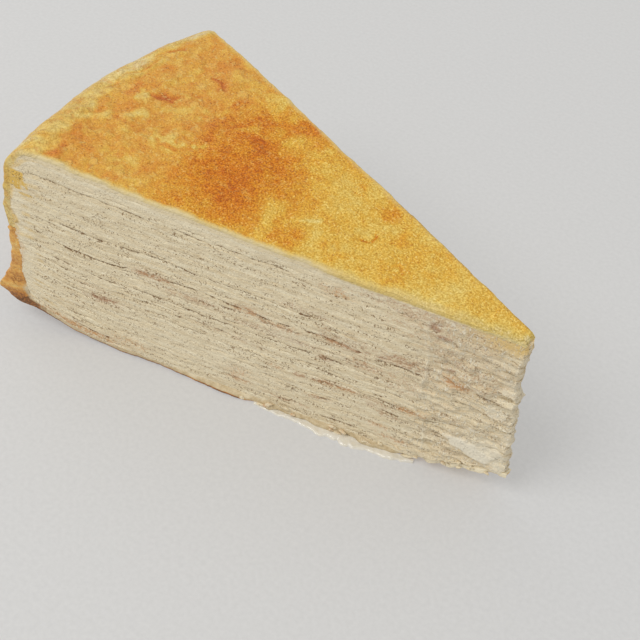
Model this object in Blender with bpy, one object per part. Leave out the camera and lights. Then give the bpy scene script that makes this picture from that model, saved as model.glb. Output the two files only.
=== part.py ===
# A wedge slice of layered crepe cake.
# Thin crepes lie in a stack with cream between them. A browned skin covers the top, rolls over
# the shoulder and hangs down the round side. A browned crepe lies underneath and turns up the side,
# with a lip at its fold.
#
# Frame: metres, +Z up. The tip points to +X, the round side faces -X, and the cut shown in front
# faces -Y. The origin is the middle of the bounding box's bottom.
#
# A place in the slice is worked out in section: reach is the distance from the whole cake's axis,
# height is the height over the underside, and turn runs from -1 on the front cut to 1 on the back cut.

import math
import random

import bmesh
import bpy
from mathutils import Vector

# Size of the slice
SLICE_ANGLE = math.radians(30.0)
TIP_HEIGHT = 0.0510
RIM_HEIGHT = 0.0565
TOP_DISH = 0.0015

# Blunt tip: how far it stops short of the cake's axis, and how far it widens past the cut planes
TIP_STOP_TOP = 0.0045
TIP_STOP_BASE = 0.0016
TIP_WIDENING = 0.0007
TIP_WIDENING_FADE = 0.006
TIP_FRAY = 0.0011

# Underside: flat over this stretch of reach, curling up at the tip and at the round side
FLAT_FROM = 0.028
FLAT_TO = 0.102
TIP_CURL = 0.0062
TIP_CURL_POWER = 1.2
RIM_CURL = 0.0065

# Round side, measured on the stack inside the skins
STACK_RADIUS = 0.1262
SHOULDER_RADIUS = 0.0077
SIDE_BULGE = 0.0015
BULGE_HEIGHT = 0.037
BULGE_SPREAD = 0.006
RIM_WAVE = 0.0006

# Skins
TOP_SKIN = 0.0015
BASE_SKIN = 0.0012
WALL_SKIN = 0.0016
SEAM_HEIGHT = 0.0320
SEAM_WAVE = 0.0018
LIP_REACH = 0.0062
LIP_HEIGHT = 0.013
LIP_BELOW = 0.0040
LIP_ABOVE = 0.0070
SKIN_RELIEF = 0.0003

# Stack: how far the layers rise in its middle, and fall at the round side and at the tip
LAYER_RISE = 0.0008
RIM_FALL = 0.0020
TIP_FALL = 0.0031
TIP_FALL_POWER = 8
CREPES = 20
CREPE_SHARE = 0.48
CREAM_UNEVENNESS = 0.16
CUT_RELIEF = 0.0002
GAP = 0.0003

# Mesh fineness: steps along each stretch of a section line, and across the slice
STACK_STEPS = 9
STACK_COLUMNS = 4
TOP_LEVEL_STEPS = 14
TOP_SHOULDER_STEPS = 6
TOP_SIDE_STEPS = 6
BASE_LEVEL_STEPS = 14
BASE_WALL_STEPS = 10
SKIN_COLUMNS = 12

SEED = 7


def blend(start, end, share):
    return start + (end - start) * share


def crowded(share):
    """Shares from 0 to 1 that lie closer together towards both ends."""
    return (1.0 - math.cos(math.pi * share)) / 2.0


def ramp(start, end, value):
    """Smooth rise from 0 at start to 1 at end."""
    share = min(max((value - start) / (end - start), 0.0), 1.0)
    return share * share * (3.0 - 2.0 * share)


# Outline of the stack in section

def stack_floor(reach):
    """Height of the stack's lowest face."""
    at_tip = max(FLAT_FROM - reach, 0.0) / (FLAT_FROM - TIP_STOP_BASE)
    at_rim = max(reach - FLAT_TO, 0.0) / (STACK_RADIUS - FLAT_TO)
    return BASE_SKIN + GAP + TIP_CURL * at_tip ** TIP_CURL_POWER + RIM_CURL * at_rim ** 2


def shoulder_start():
    return STACK_RADIUS - SHOULDER_RADIUS


def stack_ceiling(reach):
    """Height of the stack's highest face, which rolls off at the shoulder."""
    level = blend(TIP_HEIGHT, RIM_HEIGHT, reach / shoulder_start()) - TOP_SKIN - GAP
    past = min(max(reach - shoulder_start(), 0.0), SHOULDER_RADIUS)
    if past == 0.0:
        return level
    rim_level = RIM_HEIGHT - TOP_SKIN - GAP
    return rim_level - SHOULDER_RADIUS + math.sqrt(SHOULDER_RADIUS ** 2 - past ** 2)


def stack_side(height):
    """Reach of the stack's round side."""
    centre = RIM_HEIGHT - TOP_SKIN - GAP - SHOULDER_RADIUS
    bulge = SIDE_BULGE * math.exp(-((height - BULGE_HEIGHT) / BULGE_SPREAD) ** 2)
    past = min(max(height - centre, 0.0), SHOULDER_RADIUS)
    return STACK_RADIUS + bulge - SHOULDER_RADIUS + math.sqrt(SHOULDER_RADIUS ** 2 - past ** 2)


def corner_top():
    """The stack's top corner, halfway round the shoulder."""
    reach = shoulder_start() + SHOULDER_RADIUS * math.sin(math.radians(45.0))
    return Vector((reach, stack_ceiling(reach)))


def corner_base():
    return Vector((STACK_RADIUS, stack_floor(STACK_RADIUS)))


def tip_edge(share):
    base = Vector((TIP_STOP_BASE, stack_floor(TIP_STOP_BASE)))
    top = Vector((TIP_STOP_TOP, stack_ceiling(TIP_STOP_TOP)))
    return base.lerp(top, share)


def rim_edge(share):
    height = blend(corner_base().y, corner_top().y, share)
    return Vector((stack_side(height), height))


def floor_edge(share):
    reach = blend(TIP_STOP_BASE, corner_base().x, share)
    return Vector((reach, stack_floor(reach)))


def ceiling_edge(share):
    reach = blend(TIP_STOP_TOP, corner_top().x, share)
    return Vector((reach, stack_ceiling(reach)))


def in_stack(along, up):
    """Point in section: along runs from tip to round side, up from the floor to the ceiling."""
    point = floor_edge(along) * (1.0 - up) + ceiling_edge(along) * up
    point += tip_edge(up) * (1.0 - along) + rim_edge(up) * along
    point -= tip_edge(0.0) * (1.0 - along) * (1.0 - up)
    point -= rim_edge(0.0) * along * (1.0 - up)
    point -= tip_edge(1.0) * (1.0 - along) * up
    point -= rim_edge(1.0) * along * up
    shift = LAYER_RISE - RIM_FALL * ramp(0.5, 1.0, along) - TIP_FALL * (1.0 - along) ** TIP_FALL_POWER
    point.y += shift * math.sin(math.pi * up)
    return point


# From section to space

def in_space(section, turn, cut_relief=0.0):
    reach, height = section
    half_angle = SLICE_ANGLE / 2.0
    widening = TIP_WIDENING * math.exp(-reach / TIP_WIDENING_FADE) + cut_relief
    angle = turn * (half_angle + widening / reach)
    outer = (reach / STACK_RADIUS) ** 6
    radius = reach + RIM_WAVE * outer * math.sin(2.2 * turn + 0.6)
    dish = TOP_DISH * math.sin(math.pi * reach / STACK_RADIUS) * (0.77 * turn - 0.23)
    lifted = height + dish * height / RIM_HEIGHT
    return Vector((-radius * math.cos(angle), radius * math.sin(angle), lifted))


# Outline of the skins in section

def seam(turn):
    """Height where the top skin ends on the round side and the base crepe's wall begins."""
    return SEAM_HEIGHT + SEAM_WAVE * (math.sin(5.3 * turn + 1.0) - math.sin(1.0 - 5.3))


def top_line(share, turn):
    """The stack's outline from the tip over the shoulder down to the seam."""
    step = share * (TOP_LEVEL_STEPS + TOP_SHOULDER_STEPS + TOP_SIDE_STEPS)
    if step <= TOP_LEVEL_STEPS:
        reach = blend(TIP_STOP_TOP, shoulder_start(), step / TOP_LEVEL_STEPS)
        return Vector((reach, stack_ceiling(reach)))
    step -= TOP_LEVEL_STEPS
    centre_height = stack_ceiling(shoulder_start()) - SHOULDER_RADIUS
    if step <= TOP_SHOULDER_STEPS:
        angle = math.radians(90.0) * step / TOP_SHOULDER_STEPS
        height = centre_height + SHOULDER_RADIUS * math.cos(angle)
        return Vector((shoulder_start() + SHOULDER_RADIUS * math.sin(angle), height))
    step -= TOP_SHOULDER_STEPS
    height = blend(centre_height, seam(turn) + GAP, step / TOP_SIDE_STEPS)
    return Vector((stack_side(height), height))


def base_line(share, turn):
    """The stack's outline from the tip along the underside and up to the seam."""
    step = share * (BASE_LEVEL_STEPS + BASE_WALL_STEPS)
    if step <= BASE_LEVEL_STEPS:
        return floor_edge(crowded(step / BASE_LEVEL_STEPS))
    rise = (step - BASE_LEVEL_STEPS) / BASE_WALL_STEPS
    height = blend(corner_base().y, seam(turn) - GAP, rise)
    return Vector((stack_side(height), height))


def outward(line, share, turn, side):
    """Unit normal of a section line, pointing out of the stack."""
    step = 0.005
    before = line(max(share - step, 0.0), turn)
    after = line(min(share + step, 1.0), turn)
    along = (after - before).normalized()
    return Vector((-along.y, along.x)) * side


def lip(height, turn):
    """How far the base crepe's fold stands out of the round side."""
    spread = LIP_BELOW if height < LIP_HEIGHT else LIP_ABOVE
    profile = math.exp(-((height - LIP_HEIGHT) / spread) ** 2)
    front = ramp(-0.55, -1.0, turn)
    back = ramp(0.5, 1.0, turn)
    return LIP_REACH * profile * (0.42 + 0.58 * front + 0.25 * back + 0.08 * math.sin(9.0 * turn))


def skin_relief(reach, turn):
    """Shallow waves of the top skin, stronger in the wrinkled band along the round side."""
    band = 0.35 + 0.65 * ramp(0.100, 0.120, reach)
    waves = math.sin(reach * 520.0 + 3.0 * turn) * math.cos(7.0 * turn + reach * 160.0)
    return SKIN_RELIEF * band * waves


def top_point(along, turn, outer):
    line = top_line(along, turn)
    normal = outward(top_line, along, turn, 1.0)
    if not outer:
        return in_space(line + normal * GAP, turn)
    thickness = GAP + TOP_SKIN + skin_relief(line.x, turn)
    return in_space(line + normal * thickness, turn)


def base_point(along, turn, outer):
    line = base_line(along, turn)
    normal = outward(base_line, along, turn, -1.0)
    if line.x < FLAT_TO:
        normal = Vector((0.0, -1.0))
    if not outer:
        return in_space(line + normal * GAP, turn)
    on_wall = ramp(FLAT_TO, STACK_RADIUS, line.x)
    thickness = GAP + blend(BASE_SKIN, WALL_SKIN, on_wall)
    section = line + normal * thickness
    if line.x >= STACK_RADIUS:
        section.x += lip(line.y, turn)
    return in_space(section, turn)


# Mesh making

def sheet(name, steps, columns, place, material, collection):
    """A grid folded into a closed sheet. place(along, turn, outer) gives each corner."""
    grid = bmesh.new()
    bmesh.ops.create_grid(grid, x_segments=steps, y_segments=columns, size=0.5)
    lifted = bmesh.ops.extrude_face_region(grid, geom=grid.faces[:], use_keep_orig=True)
    outer = {item for item in lifted["geom"] if isinstance(item, bmesh.types.BMVert)}
    for vertex in grid.verts:
        along = vertex.co.x + 0.5
        turn = vertex.co.y * 2.0
        vertex.co = place(along, turn, vertex in outer)
    bmesh.ops.recalc_face_normals(grid, faces=grid.faces)
    if grid.calc_volume(signed=True) < 0.0:
        bmesh.ops.reverse_faces(grid, faces=grid.faces)
    mesh = bpy.data.meshes.new(name)
    grid.to_mesh(mesh)
    grid.free()
    mesh.shade_smooth()
    mesh.set_sharp_from_angle(angle=math.radians(40.0))
    mesh.materials.append(material)
    piece = bpy.data.objects.new(name, mesh)
    collection.objects.link(piece)
    return piece


def layer(name, low, high, relief, fray, material, collection):
    """One crepe or cream layer between two shares of the stack's height."""
    def place(along, turn, upper):
        spaced = crowded(along)
        spaced += fray / STACK_RADIUS * (1.0 - spaced) ** 14
        return in_space(in_stack(spaced, high if upper else low), turn, relief)

    return sheet(name, STACK_STEPS, STACK_COLUMNS, place, material, collection)


def food_material(name, colour, roughness):
    material = bpy.data.materials.new(name)
    material.use_nodes = True
    shader = material.node_tree.nodes["Principled BSDF"]
    shader.inputs["Base Color"].default_value = (*colour, 1.0)
    shader.inputs["Roughness"].default_value = roughness
    shader.inputs["Metallic"].default_value = 0.0
    return material


def layer_shares(draw):
    """Shares of the stack's height, bottom to top, for cream, crepe, cream, ... cream."""
    stack_height = stack_ceiling(FLAT_FROM) - stack_floor(FLAT_FROM)
    gap_share = GAP / stack_height
    count = 2 * CREPES + 1
    free = 1.0 - gap_share * (count - 1)
    weights = []
    for index in range(count):
        if index % 2:
            weights.append(CREPE_SHARE)
        else:
            weights.append((1.0 - CREPE_SHARE) * draw.uniform(1.0 - CREAM_UNEVENNESS, 1.0 + CREAM_UNEVENNESS))
    total = sum(weights)
    shares = []
    low = 0.0
    for weight in weights:
        high = low + free * weight / total
        shares.append((low, high))
        low = high + gap_share
    return shares


def make_stack(collection, crepe_finish, cream_finish):
    draw = random.Random(SEED)
    pieces = []
    for index, (low, high) in enumerate(layer_shares(draw)):
        is_crepe = index % 2 == 1
        kind = "crepe" if is_crepe else "cream"
        name = f"{kind}_{index // 2 + 1:02d}"
        finish = crepe_finish if is_crepe else cream_finish
        relief = draw.uniform(-CUT_RELIEF, CUT_RELIEF)
        fray = draw.uniform(-TIP_FRAY, TIP_FRAY)
        pieces.append(layer(name, low, high, relief, fray, finish, collection))
    return pieces


def stand_on_origin(pieces):
    """Moves the pieces so that the origin is the middle of the whole slice's bottom."""
    points = [vertex.co for piece in pieces for vertex in piece.data.vertices]
    lowest = Vector([min(point[axis] for point in points) for axis in range(3)])
    highest = Vector([max(point[axis] for point in points) for axis in range(3)])
    middle = (lowest + highest) / 2.0
    for piece in pieces:
        piece.location = (-middle.x, -middle.y, -lowest.z)


def main():
    for item in list(bpy.data.objects):
        bpy.data.objects.remove(item, do_unlink=True)
    collection = bpy.data.collections.new("crepe_cake_slice")
    bpy.context.scene.collection.children.link(collection)

    golden = food_material("golden_skin", (0.60, 0.30, 0.065), 0.55)
    browned = food_material("browned_crepe", (0.42, 0.22, 0.075), 0.6)
    crepe = food_material("crepe", (0.56, 0.46, 0.28), 0.6)
    cream = food_material("cream", (0.64, 0.55, 0.38), 0.5)

    pieces = make_stack(collection, crepe, cream)
    top_steps = TOP_LEVEL_STEPS + TOP_SHOULDER_STEPS + TOP_SIDE_STEPS
    base_steps = BASE_LEVEL_STEPS + BASE_WALL_STEPS
    pieces.append(sheet("top_crepe", top_steps, SKIN_COLUMNS, top_point, golden, collection))
    pieces.append(sheet("base_crepe", base_steps, SKIN_COLUMNS, base_point, browned, collection))
    stand_on_origin(pieces)


main()
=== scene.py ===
# A wedge slice of layered crepe cake, finished for rendering.
# Thin crepes with cream between them, cut with a knife, under a browned skin and over a browned base.
#
# The part's frame is in metres, +Z up. The tip points to +X, the round side faces -X, the front cut -Y.
# Lengths here are in millimetres until a mesh is made. A place in the slice is worked out in section:
# reach is the distance from the whole cake's axis, height is the height over the underside, and turn
# runs from -1 on the front cut to 1 on the back cut. Arrays of them are worked on all at once.

import itertools
import math
import random

import bpy
import numpy as np
from mathutils import Euler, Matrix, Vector


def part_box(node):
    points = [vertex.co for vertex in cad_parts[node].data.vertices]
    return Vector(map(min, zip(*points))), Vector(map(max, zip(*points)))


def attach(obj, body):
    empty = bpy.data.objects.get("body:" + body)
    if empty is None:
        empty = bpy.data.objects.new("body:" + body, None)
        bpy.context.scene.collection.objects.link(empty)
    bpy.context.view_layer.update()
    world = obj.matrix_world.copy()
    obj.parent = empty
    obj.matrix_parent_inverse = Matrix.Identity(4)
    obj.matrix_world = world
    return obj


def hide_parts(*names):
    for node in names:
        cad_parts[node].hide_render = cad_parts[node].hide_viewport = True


MM = 0.001
SEED = 7
NOISE_GAIN = 1.6

# Size of the slice, as in the part's source, but for the seam, which is 1 mm lower
SLICE_ANGLE = math.radians(30.0)
TIP_HEIGHT = 51.0
RIM_HEIGHT = 56.5
TOP_DISH = 1.5
TIP_STOP_TOP = 4.5
TIP_STOP_BASE = 1.6
TIP_WIDENING = 0.7
TIP_WIDENING_FADE = 6.0
TIP_FRAY = 1.1
FLAT_FROM = 28.0
FLAT_TO = 102.0
TIP_CURL = 6.2
TIP_CURL_POWER = 1.2
RIM_CURL = 6.5
STACK_RADIUS = 126.2
SHOULDER_RADIUS = 7.7
SHOULDER_START = STACK_RADIUS - SHOULDER_RADIUS
SIDE_BULGE = 1.5
BULGE_HEIGHT = 37.0
BULGE_SPREAD = 6.0
RIM_WAVE = 0.6
TOP_SKIN = 1.5
BASE_SKIN = 1.2
WALL_SKIN = 1.6
SEAM_HEIGHT = 31.0
SEAM_WAVE = 1.8
LIP_REACH = 6.2
LIP_HEIGHT = 13.0
LIP_BELOW = 4.0
LIP_ABOVE = 7.0
SKIN_RELIEF = 0.3
LAYER_RISE = 0.8
RIM_FALL = 2.0
TIP_FALL = 3.1
TIP_FALL_POWER = 8
CREPES = 20
CREPE_SHARE = 0.48
CREAM_UNEVENNESS = 0.16
CUT_RELIEF = 0.2
GAP = 0.3
RIM_LEVEL = RIM_HEIGHT - TOP_SKIN - GAP
SHOULDER_CENTRE = RIM_LEVEL - SHOULDER_RADIUS
LAYERS = 2 * CREPES + 1

# Finer form that only the scene has: a fuller round side, and a lower and sharper lip
SIDE_SWELL = 0.6
LOW_SWELL = 0.7
LOW_SWELL_HEIGHT = 17.0
LIP_DROP = 2.9
LIP_SHARPNESS = 1.5

# Mesh fineness
LAYER_COLUMNS = 315
LAYER_ACROSS = (-1.0, -0.6, 0.0, 0.6, 1.0)
LAYER_ROWS = (0.0, 0.06, 0.14, 0.27, 0.5, 0.73, 0.86, 0.94, 1.0)
TOP_COLUMNS = (236, 36, 44)
TOP_ACROSS = 138
TOP_ROWS = (0.0, 0.4, 0.75, 1.0)
BASE_COLUMNS = (190, 84)
BASE_ACROSS = 110
BASE_ROWS = (0.0, 0.3, 0.6, 1.0)
TIP_CROWDING = 0.35
CROWDING = 0.75
LAYER_SHARP_ANGLE = 74.0
SHARP_ANGLE = 80.0


# Shares, ramps and noise

def blend(start, end, share):
    return start + (end - start) * share


def held(value):
    """The value, held between 0 and 1."""
    return np.clip(value, 0.0, 1.0)


def ramp(start, end, value):
    """Smooth rise from 0 at start to 1 at end."""
    share = held((value - start) / (end - start))
    return share * share * (3.0 - 2.0 * share)


def bump(distance, width):
    """Bell curve: 1 at no distance, fading over the width."""
    return np.exp(-(distance / width) ** 2)


def lattice_value(cell, seed):
    """A random value in [-1, 1] for each whole-numbered cell."""
    mixed = cell[..., 0] * 374761393 + cell[..., 1] * 668265263 + cell[..., 2] * 1442695041 + seed * 974711
    mixed = (mixed ^ (mixed >> 13)) * 1274126177
    mixed = mixed ^ (mixed >> 16)
    return (mixed & 0xFFFF) / 32767.5 - 1.0


def noise(points, grain, seed):
    """Smooth noise in [-1, 1] with bumps of the size of the grain."""
    scaled = points / grain
    cell = np.floor(scaled).astype(np.int64)
    part = scaled - cell
    fade = part * part * (3.0 - 2.0 * part)
    total = np.zeros(points.shape[:-1])
    for corner in itertools.product((0, 1), repeat=3):
        weight = np.prod(np.where(np.array(corner) == 1, fade, 1.0 - fade), axis=-1)
        total += weight * lattice_value(cell + np.array(corner), seed)
    return total * NOISE_GAIN


def waves(points, *kinds):
    """Noises added up, each given as its height, grain and seed."""
    return sum(height * noise(points, grain, seed) for height, grain, seed in kinds)


def stacked(*values):
    return np.stack(np.broadcast_arrays(*values), axis=-1).astype(float)


def round_off(past, radius):
    """How far a rounded edge lies below the plain surface, at a distance past where its rounding starts."""
    past = np.clip(past, 0.0, radius)
    return radius - np.sqrt(radius ** 2 - past ** 2)


# Outline of the stack in section

def stack_floor(reach):
    at_tip = np.maximum(FLAT_FROM - reach, 0.0) / (FLAT_FROM - TIP_STOP_BASE)
    at_rim = np.maximum(reach - FLAT_TO, 0.0) / (STACK_RADIUS - FLAT_TO)
    return BASE_SKIN + GAP + TIP_CURL * at_tip ** TIP_CURL_POWER + RIM_CURL * at_rim ** 2


def stack_ceiling(reach):
    level = blend(TIP_HEIGHT, RIM_HEIGHT, np.minimum(reach / SHOULDER_START, 1.0)) - TOP_SKIN - GAP
    return level - round_off(reach - SHOULDER_START, SHOULDER_RADIUS)


def stack_height(reach):
    return stack_ceiling(reach) - stack_floor(reach)


def stack_side(height):
    bulge = SIDE_BULGE * bump(height - BULGE_HEIGHT, BULGE_SPREAD)
    swell = SIDE_SWELL * ramp(34, 30, height) * ramp(8, 11, height)
    swell = swell + LOW_SWELL * bump(height - LOW_SWELL_HEIGHT, 3.5)
    return STACK_RADIUS + bulge + swell - round_off(height - SHOULDER_CENTRE, SHOULDER_RADIUS)


TOP_CORNER_REACH = SHOULDER_START + SHOULDER_RADIUS * math.sin(math.radians(45.0))
TOP_CORNER_HEIGHT = float(stack_ceiling(TOP_CORNER_REACH))
BASE_CORNER_HEIGHT = float(stack_floor(STACK_RADIUS))


def floor_edge(share):
    reach = blend(TIP_STOP_BASE, STACK_RADIUS, share)
    return stacked(reach, stack_floor(reach))


def ceiling_edge(share):
    reach = blend(TIP_STOP_TOP, TOP_CORNER_REACH, share)
    return stacked(reach, stack_ceiling(reach))


def tip_edge(share):
    return blend(floor_edge(0.0), ceiling_edge(0.0), np.asarray(share)[..., None])


def rim_edge(share):
    height = blend(BASE_CORNER_HEIGHT, TOP_CORNER_HEIGHT, share)
    return stacked(stack_side(height), height)


def in_stack(along, up):
    """Reach and height: along runs from tip to round side, up from the stack's floor to its ceiling."""
    a, u = along[..., None], up[..., None]
    point = floor_edge(along) * (1.0 - u) + ceiling_edge(along) * u
    point += tip_edge(up) * (1.0 - a) + rim_edge(up) * a
    point -= tip_edge(0.0) * (1.0 - a) * (1.0 - u) + rim_edge(0.0) * a * (1.0 - u)
    point -= tip_edge(1.0) * (1.0 - a) * u + rim_edge(1.0) * a * u
    shift = LAYER_RISE - RIM_FALL * ramp(0.5, 1.0, along) - TIP_FALL * (1.0 - along) ** TIP_FALL_POWER
    return point[..., 0], point[..., 1] + shift * np.sin(np.pi * up)


def in_space(reach, height, turn, relief=0.0):
    """Place in the slice's own frame, whose origin is on the whole cake's axis."""
    widening = TIP_WIDENING * np.exp(-reach / TIP_WIDENING_FADE) + relief
    angle = turn * (SLICE_ANGLE / 2.0 + widening / reach)
    radius = reach + RIM_WAVE * (reach / STACK_RADIUS) ** 6 * np.sin(2.2 * turn + 0.6)
    dish = TOP_DISH * np.sin(np.pi * reach / STACK_RADIUS) * (0.77 * turn - 0.23)
    return stacked(-radius * np.cos(angle), radius * np.sin(angle), height + dish * height / RIM_HEIGHT)


# Outline of the skins in section

def seam(turn):
    """Height where the top skin ends on the round side and the base crepe's wall begins."""
    return SEAM_HEIGHT + SEAM_WAVE * (np.sin(5.3 * turn + 1.0) - math.sin(1.0 - 5.3))


def top_line(share, turn):
    """The stack's outline from the tip over the shoulder down to the seam, and its outward normal."""
    level_end = TOP_COLUMNS[0] / sum(TOP_COLUMNS)
    shoulder_end = (TOP_COLUMNS[0] + TOP_COLUMNS[1]) / sum(TOP_COLUMNS)
    on_top, on_side = share <= level_end, share > shoulder_end
    angle = math.radians(90.0) * held((share - level_end) / (shoulder_end - level_end))
    side_height = blend(SHOULDER_CENTRE, seam(turn), held((share - shoulder_end) / (1.0 - shoulder_end)))
    top_reach = blend(TIP_STOP_TOP, SHOULDER_START, share / level_end)
    reach = np.where(on_top, top_reach, SHOULDER_START + SHOULDER_RADIUS * np.sin(angle))
    height = np.where(on_top, stack_ceiling(reach), SHOULDER_CENTRE + SHOULDER_RADIUS * np.cos(angle))
    reach = np.where(on_side, stack_side(side_height), reach)
    height = np.where(on_side, side_height, height)
    return reach, height, np.sin(angle), np.cos(angle)


def base_line(share, turn):
    """The stack's outline from the tip along the underside and up to the seam, and its outward normal."""
    level_end = BASE_COLUMNS[0] / sum(BASE_COLUMNS)
    level = np.minimum(share / level_end, 1.0)
    reach = blend(TIP_STOP_BASE, STACK_RADIUS, (1.0 - np.cos(np.pi * level)) / 4.0 + level / 2.0)
    rise = held((share - level_end) / (1.0 - level_end))
    wall_height = blend(BASE_CORNER_HEIGHT, seam(turn), rise)
    on_wall = share > level_end
    height = np.where(on_wall, wall_height, stack_floor(reach))
    reach = np.where(on_wall, stack_side(wall_height), reach)
    lean = math.radians(90.0) * np.where(on_wall, 1.0, ramp(118, STACK_RADIUS, reach) * 0.65)
    return reach, height, np.sin(lean), -np.cos(lean)


def lip(height, turn):
    """How far the base crepe's fold stands out of the round side."""
    spread = np.where(height < LIP_HEIGHT, LIP_BELOW, LIP_ABOVE)
    share = 0.42 + 0.58 * ramp(-0.55, -1.0, turn) + 0.25 * ramp(0.5, 1.0, turn) + 0.08 * np.sin(9.0 * turn)
    return LIP_REACH * bump(height - LIP_HEIGHT, spread) * share


def skin_relief(reach, turn):
    band = 0.35 + 0.65 * ramp(100, 120, reach)
    return SKIN_RELIEF * band * np.sin(reach * 0.52 + 3.0 * turn) * np.cos(7.0 * turn + reach * 0.16)


# Mesh making

def box_lattice(counts, rects):
    """The surface of a box of lattice steps: its corners' steps, its quads and their texture places.

    Its sides are front, back, bottom, top, tip and rim. Each fills a rectangle of the texture, given as
    low u, low v, width and height."""
    index = np.arange(math.prod(count + 1 for count in counts)).reshape([count + 1 for count in counts])
    grids = (index[:, 0], index[:, -1], index[:, :, 0], index[:, :, -1], index[0], index[-1])
    flipped = (False, True, True, False, True, False)
    axes = ((0, 2), (0, 2), (0, 1), (0, 1), (1, 2), (1, 2))
    quads, places = [], []
    for grid, flip, (first, second), (low_u, low_v, width, height) in zip(grids, flipped, axes, rects):
        quad = np.stack([grid[:-1, :-1], grid[1:, :-1], grid[1:, 1:], grid[:-1, 1:]], axis=-1).reshape(-1, 4)
        quad = quad[:, ::-1] if flip else quad
        share = np.stack(np.unravel_index(quad, index.shape), axis=-1) / np.array(counts)
        quads.append(quad)
        places.append(stacked(low_u + width * share[..., first], low_v + height * share[..., second]))
    used, local = np.unique(np.concatenate(quads), return_inverse=True)
    steps = np.stack(np.unravel_index(used, index.shape), axis=-1)
    return steps, local.reshape(-1, 4), np.concatenate(places)


def make_piece(name, parts, material, sharp_angle=SHARP_ANGLE):
    """A smooth mesh piece of the slice. Each part is its points, quads, texture places and fields."""
    starts = np.cumsum([0] + [len(part[0]) for part in parts])
    points = np.concatenate([part[0] for part in parts])
    quads = np.concatenate([part[1] + start for part, start in zip(parts, starts)])
    mesh = bpy.data.meshes.new(name)
    mesh.from_pydata(points * MM + AXIS, [], quads.tolist())
    mesh.materials.append(material)
    layer = mesh.uv_layers.new(name="OFBake")
    layer.data.foreach_set("uv", np.concatenate([part[2] for part in parts]).astype(np.float32).ravel())
    for field in parts[0][3]:
        values = np.concatenate([np.broadcast_to(part[3][field], len(part[0])) for part in parts])
        mesh.attributes.new(field, "FLOAT", "POINT").data.foreach_set("value", values.astype(np.float32))
    mesh.update()
    mesh.shade_smooth()
    mesh.set_sharp_from_angle(angle=math.radians(sharp_angle))
    piece = bpy.data.objects.new(name, mesh)
    bpy.context.scene.collection.objects.link(piece)
    return piece


# Material making

GRAIN_RANGE = (0.3, 0.7)


def linear(colour):
    """Scene colour of a colour given as it shows on a screen, 0 to 255."""
    shares = [value / 255.0 for value in colour]
    return tuple(s / 12.92 if s <= 0.04045 else ((s + 0.055) / 1.055) ** 2.4 for s in shares) + (1.0,)


class Wire:
    """The output of a shader node. Reckoning with it adds Math nodes."""

    def __init__(self, paint, socket):
        self.paint = paint
        self.socket = socket

    def math(self, operation, first, second=0.0):
        return self.paint.node("Math", {0: first, 1: second}, operation=operation)

    def __add__(self, other):
        return self.math("ADD", self, other)

    def __sub__(self, other):
        return self.math("SUBTRACT", self, other)

    def __rsub__(self, other):
        return self.math("SUBTRACT", other, self)

    def __mul__(self, other):
        return self.math("MULTIPLY", self, other)

    __radd__ = __add__
    __rmul__ = __mul__

    def __abs__(self):
        return self.math("ABSOLUTE", self)

    def held(self):
        """The same value, held between 0 and 1."""
        self.socket.node.use_clamp = True
        return self

    def rescale(self, low, high, new_low=0.0, new_high=1.0):
        inputs = {"Value": self, "From Min": low, "From Max": high, "To Min": new_low, "To Max": new_high}
        return self.paint.node("MapRange", inputs, "Result")

    def spread(self, low=0.0, high=1.0):
        """A grain, with its usual range spread over the given one."""
        return self.rescale(*GRAIN_RANGE, low, high)

    def between(self, low, high):
        """From low where this value is 0 to high where it is 1."""
        return self.rescale(0.0, 1.0, low, high)

    def mixed(self, share, other, blend_type="MIX"):
        """This colour with a share of another."""
        return self.paint.mix(share, self, other, blend_type)


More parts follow.
